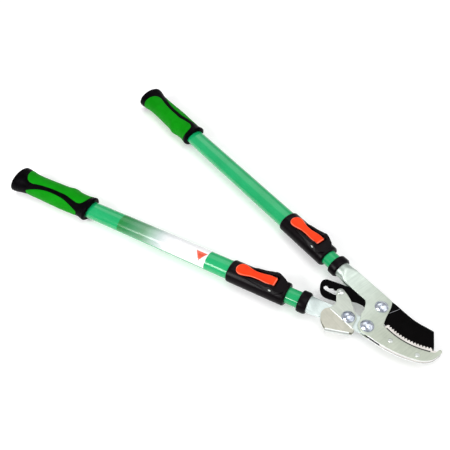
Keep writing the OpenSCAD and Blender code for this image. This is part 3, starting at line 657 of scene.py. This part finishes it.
def arm_mesh(place, collar_at, s0, s1, flat_half, flat_middle, z0, z1):
    """Half a socket at the collar that flattens from s0 to s1 into a plate between heights z0 and z1."""
    joint = collar_at + 6.1
    stem, socket, low_z = (9.85, 7.75), (11.4, 9.3), 0.03
    # A row is: station, half width, half height, wall, squareness, lowest height, sideways shift.
    rows = [(joint - 22, *stem, 1.5, 1, low_z, 0), (joint, *stem, 1.5, 1, low_z, 0),
            (joint + 0.1, *socket, 3.0, 1, low_z, 0), (joint + 3, *socket, 1.5, 1, low_z, 0)]
    for k in range(25):
        t = k / 24
        e = ease(t)
        rows.append((s0 + (s1 - s0) * t, socket[0] + (flat_half - socket[0]) * e,
                     socket[1] + (z1 + 0.02 - socket[1]) * e, 1.5 + (z1 - z0 - 1.5) * e, 1 - 0.85 * e,
                     low_z + (z0 - low_z) * e, flat_middle * e))
    rows.append((rows[-1][0] + 3, *rows[-1][1:]))
    steps = 36
    rings = []
    for x, a, b, wall, square, low, shift in rows:
        inner_top = max(b - wall, low + 0.06)
        r = a - max(wall * square, 0.3)
        ring = []
        for i in range(steps + 1):
            f = math.pi * i / steps
            c = math.cos(f)
            y = shift + a * math.copysign(abs(c) ** square, c)
            ring.append((x, y, low + (b - low) * math.sin(f) ** square))
        for i in range(steps + 1):
            f = math.pi - math.pi * i / steps
            c = math.cos(f)
            y = shift + r * math.copysign(abs(c) ** square, c)
            ring.append((x, y, low + (inner_top - low) * abs(math.sin(f)) ** square))
        rings.append(ring)
    return loft("arm", rings, place)


def on_anvil(place):
    """A place in the head, taking the anvil handle's own millimetres."""
    return lambda p: place(anvil_in_head(p))


# Pivots of the blade, the lever and the stirrup, the ratchet pin, and the centre of the cutting edge's arc.
PIVOT_A, PIVOT_B, PIVOT_C = (0, 0), (7.8, -32.4), (-14.5, -41.2)
PIN_D, EDGE_C = (-45.6, -23.3), (27.1, 60.4)
PIVOT_R, RIVET_R = 4.0, 2.4
RIVETS = [(37.7, -25.4), (68.4, -15.3)]
PLATE_IN, PLATE_OUT = 1.7, 3.7
# Along X: where the painted shade on the inner faces starts, and where the painted highlight on the edges
# starts.
SHADE_PAINTED_FROM_X, HIGHLIGHT_PAINTED_FROM_X = 0.245, 0.262
plate_edge = arc(EDGE_C, 77.6, -48.6, -94, 24)
SIDE = outline(
    [(-52, 15.9), (-52, -8.1)],
    [(-52, -8.1), (-45, -8.3), (-30, -8.2), (-20.5, -7.9), (-18, -8.8), (-15.5, -11), (-13, -15),
     (-9.8, -20.5), (-8.4, -26.2), (-5.6, -29.2), *arc(PIVOT_B, 10.8, 188, 284, 12), (20, -40.6), (30, -38.6),
     (40, -35.9), (50, -32.4), (60, -27.6), (70, -21.7), (76.5, -16.5), (80.5, -11), (82.8, -5), (83.45, 2),
     (83.2, 7.6), (82.2, 9.8), (80.4, 10.5), (78.9, 9.4), plate_edge[0]],
    plate_edge,
    [plate_edge[-1], (20.2, -17.0), (19.0, -16.0), (17.6, -14.3), (15, -9.6), (13, -5), (10.5, 1.5), (8, 7.5),
     (5, 12.6), (3.4, 14.8), (1.2, 15.7), (-3, 15.9), (-20, 15.9), (-52, 15.9)])
for side, where in (("front", head), ("back", under(head))):
    holes = [circle(PIVOT_A, PIVOT_R), circle(PIVOT_B, PIVOT_R), *(circle(c, RIVET_R, 24) for c in RIVETS)]
    flat = plate("flat", SIDE, holes, PLATE_IN, PLATE_OUT, 0.4, where)
    arm = arm_mesh(on_anvil(where), 490, 507.9, 521.9, 12, -0.5, PLATE_IN, PLATE_OUT)
    steel = built(f"{side}_side_steel", joined(f"{side}_side_steel", [flat, arm]), "anvil_side",
                  "stamped_steel", [f"{side}_side_plate"], 45)
    steel.data.materials.append(MATERIALS["painted_highlight_edge"])
    steel.data.materials.append(MATERIALS["painted_shade_dark"])
    # Near the jaw the inner faces get painted shade, near black, for the shadow in the gap between the
    # plates, and the sheared edges that don't look up Y get a painted highlight, a paler steel.
    inward = -1 if side == "front" else 1
    for face in steel.data.polygons:
        if face.normal.z * inward > 0.9 and face.center.x > SHADE_PAINTED_FROM_X:
            face.material_index = 2
        if abs(face.normal.z) < 0.8 and face.center.x > HIGHLIGHT_PAINTED_FROM_X and face.normal.y < 0.3:
            face.material_index = 1

# Lever plates: flat round their two pivots, on an arm like the side plates' own.
LEVER_IN, LEVER_OUT = 0.02, 1.5
TONGUE = [lever_in_head((*p, 0))[:2] for p in outline(
    [(519, 11.2), (519, -11.2)],
    [(519, -11.2), (524, -10.4), (535, -9.8), (548, -9.2), (560, -8.4), (570, -8.2),
     *arc((579.3, 2.3), 10.2, -105, 100, 18), (571, 12.2), (556, 12.6), (545, 12.2), (530, 11.4),
     (519, 11.2)])]
for side in ("front", "back"):
    at_head, at_lever = (head, lever) if side == "front" else (under(head), under(lever))
    holes = [circle(PIVOT_B, PIVOT_R), circle(PIVOT_C, PIVOT_R)]
    flat = plate("flat", TONGUE, holes, LEVER_IN, LEVER_OUT, 0.3, at_head)
    arm = arm_mesh(at_lever, 494, 504, 521, 11.2, 0, LEVER_IN, LEVER_OUT)
    built(f"lever_{side}_steel", joined(f"lever_{side}_steel", [flat, arm]), "lever_side", "lever_steel",
          [f"lever_{side}_plate"], 45)

# Anvil: a filler between the plates, with a wall of rounded teeth beside the cutting edge on each side, and
# a thin near-black strip of painted shade in the groove between the teeth and the plate, where shadow falls.
TEETH, TOOTH_POINTS, TOOTH_TIP_R, TOOTH_DEPTH = 16, 10, 70.7, 2.1
WALL_R, WALL_TOP = 77.2, 1.67
tooth_line = []
for i in range(TEETH * TOOTH_POINTS + 1):
    a = -95 + 44.5 * i / (TEETH * TOOTH_POINTS)
    valley = (0.5 + 0.5 * math.cos(2 * math.pi * i / TOOTH_POINTS)) ** 1.9
    tooth_line.append(arc(EDGE_C, TOOTH_TIP_R + TOOTH_DEPTH * valley, a, a, 1)[0])
filler_edge = arc(EDGE_C, 74.25, -95, -49.4, 24)
filler_line = outline(
    filler_edge,
    [filler_edge[-1], (79.6, 8), (82.5, 7.4)],
    [(82.5, 7.4), (83.1, 2), (82.4, -5), (80.2, -10.8), (76.3, -16.2), (69.8, -21.4), (59.8, -27.3),
     (49.9, -32), (39.9, -35.5), (33.4, -37.4)],
    [(33.4, -37.4), (31.6, -36.8), (27.6, -32.6), (23.4, -26.6), (20.3, -20), filler_edge[0]])
strips = [plate("filler", filler_line, [circle(c, RIVET_R, 24) for c in RIVETS], -1.58, 1.58, 0.1, head)]
wall = [*tooth_line, *arc(EDGE_C, WALL_R, -50.5, -95, 30)]
crevice_painted_shade = [*arc(EDGE_C, 75.2, -93, -52, 30), *arc(EDGE_C, WALL_R, -52, -93, 30)]
for where in (head, under(head)):
    strips.append(plate("wall", wall, [], 0.8, WALL_TOP, 0.12, where))
    strips.append(plate("crevice_painted_shade", crevice_painted_shade, [], 1.0, WALL_TOP + 0.06, 0.05, where))
strip = built("anvil_strip", joined("anvil_strip", strips), "anvil_side", "anvil_steel", ["anvil_insert"], 40)
strip.data.materials.append(MATERIALS["painted_shade_dark"])
# The top of the strip in the groove takes the painted shade.
for face in strip.data.polygons:
    if abs(face.center.z * 1000 - ORIGIN.z) > WALL_TOP + 0.02:
        face.material_index = 1

# Ratchet stirrup: two ears, and below the crease two cheeks joined by a rolled fold.
EAR = outline(
    [(-38.2, -50), (1.6, -48)],
    [(1.6, -48), (-2, -46), (-4.6, -41), (-6.5, -35.5), (-10.5, -31.8), (-14.5, -30.2), (-20, -27),
     (-28, -22.6), (-38, -19.4), (-42.4, -18.7), (-45.6, -18), (-48.8, -19), (-50.8, -22), (-50.5, -25.6),
     (-46, -30.6), (-41.5, -35), (-38.4, -38.6), (-37.4, -44), (-38.2, -50)])
CHEEK = outline(
    [(-21, -72.6), (0.5, -54.6)], [(0.5, -54.6), (2.9, -51.6), (1.9, -47)], [(1.9, -47), (-38, -49)],
    [(-38, -49), (-40.4, -54), (-40.4, -58.6), (-38.6, -63), (-33.8, -67.6), (-27.6, -70.6), (-21, -72.6)])
ears, cheeks = [], []
for where in (head, under(head)):
    ears.append(plate("ear", EAR, [circle(PIVOT_C, PIVOT_R), circle(PIN_D, 1.9, 32)], 1.9, 3.7, 0.35, where))
    cheeks.append(plate("cheek", CHEEK, [], 1.96, 3.1, 0.1, where))


def bead(name, a, b, radius, place):
    """A thin round-ended bead from a to b."""
    count, sides = 12, 14
    a, b = Vector(a), Vector(b)
    along = (b - a).normalized()
    across = along.cross(Vector((0, 0, 1))).normalized()
    lift = across.cross(along)
    rings = []
    for k in range(count + 1):
        t = k / count
        c = a.lerp(b, t)
        r = radius * max(0.05, math.sqrt(max(0.0, 1 - abs(2 * t - 1) ** 6)))
        rings.append([c + r * (math.cos(q) * across + math.sin(q) * lift)
                      for q in (2 * math.pi * i / sides for i in range(sides))])
    return loft(name, rings, place)


built("pawl_ears", joined("pawl_ears", ears), "pawl", "pawl_steel", ["pawl_stirrup"], 45)
# A bead along the crease: a real ridge, with a painted highlight for the light the fold catches.
creases = [bead("crease", (-38.4, -49.8, 3.25), (1.9, -47.9, 3.25), 0.75, where)
           for where in (head, under(head))]

# The rolled fold: a half round lip along the cheeks' lower edge, and the direction inwards from there.
FOLD_R, FOLD_WALL, FOLD_IN = 3.1, 1.2, (-0.642, 0.7668)
fold = []
for k in range(9):
    t = -0.012 + 1.024 * k / 8
    x, y = -19 + 21.5 * t, -75 + 18 * t
    ring = []
    for radius, turns in ((FOLD_R, range(-12, 13)), (FOLD_R - FOLD_WALL, range(12, -13, -1))):
        for i in turns:
            a = math.radians(7.5 * i)
            w = FOLD_R - radius * math.cos(a)
            ring.append((x + FOLD_IN[0] * w, y + FOLD_IN[1] * w, radius * math.sin(a)))
    fold.append(ring)
# The cheeks take a painted reflection tint, and the roll and the crease bead take a painted highlight.
for name, mesh, finish in (("pawl_cheeks", joined("pawl_cheeks", cheeks), "pawl_cheek_painted_reflection"),
                           ("pawl_roll_painted_highlight", loft("pawl_roll_painted_highlight", fold, head), "pawl_roll_painted_highlight"),
                           ("pawl_crease", joined("pawl_crease", creases), "painted_highlight_edge")):
    built(name, mesh, "pawl", "pawl_steel", ["pawl_stirrup"], 45, finish)

# Leaf spring: held under the stirrup's fold, its free leaf resting beside the lever arm.
LEAF_HALF, LEAF_HALF_WIDTH = 0.28, 1.35
LEAF_SECTION = ((1, 0.8), (0.8, 1), (-0.8, 1), (-1, 0.8), (-1, -0.8), (-0.8, -1), (0.8, -1), (1, -0.8))
leaf = smooth_run([(-20.4, -72.2), (-10, -63.4), (-1.6, -56.3), (-0.5, -54.8), (-1.4, -54.0), (-3.6, -54.6),
                   (-12, -57.6), (-22.4, -61.4)], 0.8)
rings = []
for k, p in enumerate(leaf):
    along = (leaf[min(k + 1, len(leaf) - 1)] - leaf[max(k - 1, 0)]).normalized()
    side = Vector((-along.y, along.x))
    rings.append([(p.x + side.x * LEAF_HALF * u, p.y + side.y * LEAF_HALF * u, LEAF_HALF_WIDTH * v)
                  for u, v in LEAF_SECTION])
leaf_spring = bpy.data.objects.new("leaf_spring", loft("leaf_spring", rings, head))
scene.collection.objects.link(leaf_spring)
leaf_spring.data.materials.append(MATERIALS["spring_steel"])
shade(leaf_spring.data)
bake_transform(leaf_spring)
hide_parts("pawl_spring")

# Blade: a flat tail with the notched slot, and ahead of the heel a hollow-ground front down to the edge.
BLADE_HALF, EDGE_HALF, GRIND_SLOPE, EDGE_R, TIP_ANGLE = 1.5, 0.15, 0.05, 74, -48.5
HEEL_TOP, HEEL_MID, HEEL_LOW = (15.2, 17.1), (10.6, 0.4), (6.8, -13.4)
TAIL = outline(
    [HEEL_TOP, (9, 17.2), (3, 16.6), (-2, 15.2), (-8, 12.6), (-24, 4.5), (-36, -2.8), (-47, -9.4),
     (-61, -16.4), (-69, -20.6), (-72, -22.8), (-73.5, -26), (-73.3, -29.5), (-71, -34), (-66.5, -38.8),
     (-61.5, -41.9), (-57, -42.8), (-51.5, -41.3), (-42, -35.6), (-37.5, -31.6), (-33, -25.5), (-30, -21.4),
     (-27, -18.6), (-23, -16.1), (-19, -14.6), (-15, -13.9), (-5, -13.6), HEEL_LOW],
    [HEEL_LOW, HEEL_MID], [HEEL_MID, HEEL_TOP])
SLOT_LINE = outline(
    [(-52.4, -23.4), (-51.4, -22.5), (-50, -22.4), (-48.6, -22.4), (-47.2, -21.6), (-45.6, -21.0),
     (-44.0, -21.6), (-43.3, -23.2), (-43.6, -24.6), (-44.4, -26.1), (-45.6, -28.2), (-47.6, -30.2),
     (-49.3, -31.2), (-54.1, -32.8), (-59.5, -34.6), (-61.6, -35.1), (-63.4, -35), (-65.2, -33.9),
     (-66.5, -32), (-66.7, -30.8), (-66.4, -29.6), (-65.5, -28.4), (-63.7, -28.0), (-62.2, -28.5)],
    [(-62.2, -28.5), (-60.4, -28), (-59.3, -27.1), (-58.4, -25.9), (-57.6, -25), (-56.2, -24.8),
     (-54.6, -25.3)],
    [(-54.6, -25.3), (-53.4, -24.8), (-52.4, -23.4)])

# The spine: angles in degrees round the edge's centre, and distances from it.
SPINE = [(-106, 44.9), (-95, 43.4), (-86.8, 43.2), (-73.5, 43.8), (-60.3, 45.2), (-50.6, 47.9),
         (TIP_ANGLE, 49.2)]


def spine_radius(a):
    """The spine's distance from the edge's centre at angle a."""
    for (a0, r0), (a1, r1) in zip(SPINE, SPINE[1:]):
        if a <= a1:
            return r0 + (r1 - r0) * max(0.0, a - a0) / (a1 - a0)
    return SPINE[-1][1]


def blade_half_thickness(r):
    """Half the blade's thickness at distance r from the edge's centre."""
    return min(BLADE_HALF, EDGE_HALF + GRIND_SLOPE * (EDGE_R - r))


def ground_front():
    """The front of the blade, lofted round the edge's centre from the heel line to the tip."""
    heel = []
    for i in range(15):
        y = HEEL_TOP[1] - 28.0 * i / 14
        a, b = (HEEL_TOP, HEEL_MID) if y > HEEL_MID[1] else (HEEL_MID, HEEL_LOW)
        x = a[0] + (b[0] - a[0]) * (y - a[1]) / (b[1] - a[1])
        dx, dy = x - EDGE_C[0], y - EDGE_C[1]
        heel.append((math.degrees(math.atan2(dy, dx)), min(float(EDGE_R), math.hypot(dx, dy))))
    first = heel[0][1]
    rings = []
    for k in range(61):
        t = k / 60
        upper = []
        for a0, r0 in heel:
            share = (r0 - first) / (EDGE_R - first)
            q = math.radians(a0 + (TIP_ANGLE - 0.7 * share ** 6 - a0) * t)
            inner = spine_radius(math.degrees(q)) if t else first
            r = inner + (EDGE_R - inner) * share
            upper.append((EDGE_C[0] + r * math.cos(q), EDGE_C[1] + r * math.sin(q), blade_half_thickness(r)))
        rings.append(upper + [(x, y, -z) for x, y, z in reversed(upper)])
    return loft("front", rings, head)


tail = plate("tail", TAIL, [circle(PIVOT_A, PIVOT_R), SLOT_LINE], -BLADE_HALF, BLADE_HALF, 0.25, head)
built("blade_steel", joined("blade_steel", [tail, ground_front()]), "blade", "blade_coating", ["blade"], 35)

# Ground line where the blade's hollow starts, behind the plates' edge.
ground = [bead("ground", (*HEEL_MID, 1.42), (15.0, 16.4, 1.42), 0.26, where) for where in (head, under(head))]
ground_line = bpy.data.objects.new("blade_ground_line", joined("blade_ground_line", ground))
scene.collection.objects.link(ground_line)
ground_line.data.materials.append(MATERIALS["spring_steel"])
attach(ground_line, "blade")
shade(ground_line.data)

# ---- floor, light, camera ----

FLOOR_HALF, FLOOR_Z = 6, -0.0003
floor_corners = [(x * FLOOR_HALF, y * FLOOR_HALF, FLOOR_Z) for x, y in ((-1, -1), (1, -1), (1, 1), (-1, 1))]
floor_mesh = bpy.data.meshes.new("floor")
floor_mesh.from_pydata(floor_corners, [], [(0, 1, 2, 3)])
floor = bpy.data.objects.new("floor", floor_mesh)
scene.collection.objects.link(floor)
floor_mat, tree, shader = new_material("floor_paper")
paper = noise(tree, 40, 3.0)
white = ramp(tree, paper, [(0.3, (0.90, 0.90, 0.90)), (0.7, (0.93, 0.93, 0.93))])
link(tree, white, "Color", shader, "Base Color")
shader.inputs["Roughness"].default_value = 0.9
shader.inputs["Specular IOR Level"].default_value = 0.1
glow = ramp(tree, paper, [(0.3, (0.95, 0.95, 0.95)), (0.7, (1, 1, 1))])
link(tree, glow, "Color", shader, "Emission Color")
shader.inputs["Emission Strength"].default_value = 0.2
floor_mesh.materials.append(floor_mat)

world = bpy.data.worlds.new("studio")
scene.world = world
world.use_nodes = True
tree = world.node_tree
coord = tree.nodes.new("ShaderNodeTexCoord")
parts = tree.nodes.new("ShaderNodeSeparateXYZ")
link(tree, coord, "Generated", parts, "Vector")
greys = [(0.0, (0.50, 0.50, 0.51)), (0.3, (0.55, 0.55, 0.56)), (1.0, (0.70, 0.70, 0.70))]
sky = ramp(tree, parts, greys, "Z")
link(tree, sky, "Color", tree.nodes["Background"], "Color")
tree.nodes["Background"].inputs["Strength"].default_value = 0.72


def softbox(name, place, aim, size, power):
    """A rectangular lamp at a place in the row frame, aimed at another."""
    light = bpy.data.lights.new(name, "AREA")
    light.shape = "RECTANGLE"
    light.size, light.size_y = size
    light.energy = power
    obj = bpy.data.objects.new(name, light)
    obj.location = place
    obj.rotation_mode = "QUATERNION"
    obj.rotation_quaternion = (Vector(aim) - Vector(place)).to_track_quat("-Z", "Y")
    scene.collection.objects.link(obj)


softbox("key", (0.0155, -0.911, 0.7735), (0.116, -0.28, 0.10), (0.69, 0.34), 10)
softbox("back", (-1.35, 0.85, 1.75), (0.0, 0.0, 0.0), (1.7, 1.5), 9)
softbox("fill", (1.3, 0.9, 1.4), (0.1, 0.0, 0.0), (2.4, 2.2), 13)
softbox("top", (0.35, 0.25, 1.9), (0.0, 0.0, 0.0), (1.2, 1.0), 8)

# The camera stands where the photo's was found to be: its focal length in the photo's pixels, and its axes.
SENSOR, FOCAL_PIXELS, PHOTO_PIXELS = 36, 522.2, 450
camera = bpy.data.cameras.new("camera")
camera.sensor_width = SENSOR
camera.lens = SENSOR * FOCAL_PIXELS / PHOTO_PIXELS
camera.clip_start = 0.01
eye = bpy.data.objects.new("camera", camera)
right = Vector((0.5813, 0.8105, -0.0673)).normalized()
back = Vector((0.5622, -0.3406, 0.7535))
back = (back - back.dot(right) * right).normalized()
up = back.cross(right)
turned = Matrix((right, up, back)).transposed().to_4x4()
eye.matrix_world = Matrix.Translation((0.4322, -0.1896, 0.576)) @ turned
scene.collection.objects.link(eye)
scene.camera = eye
scene.view_settings.view_transform = "Standard"
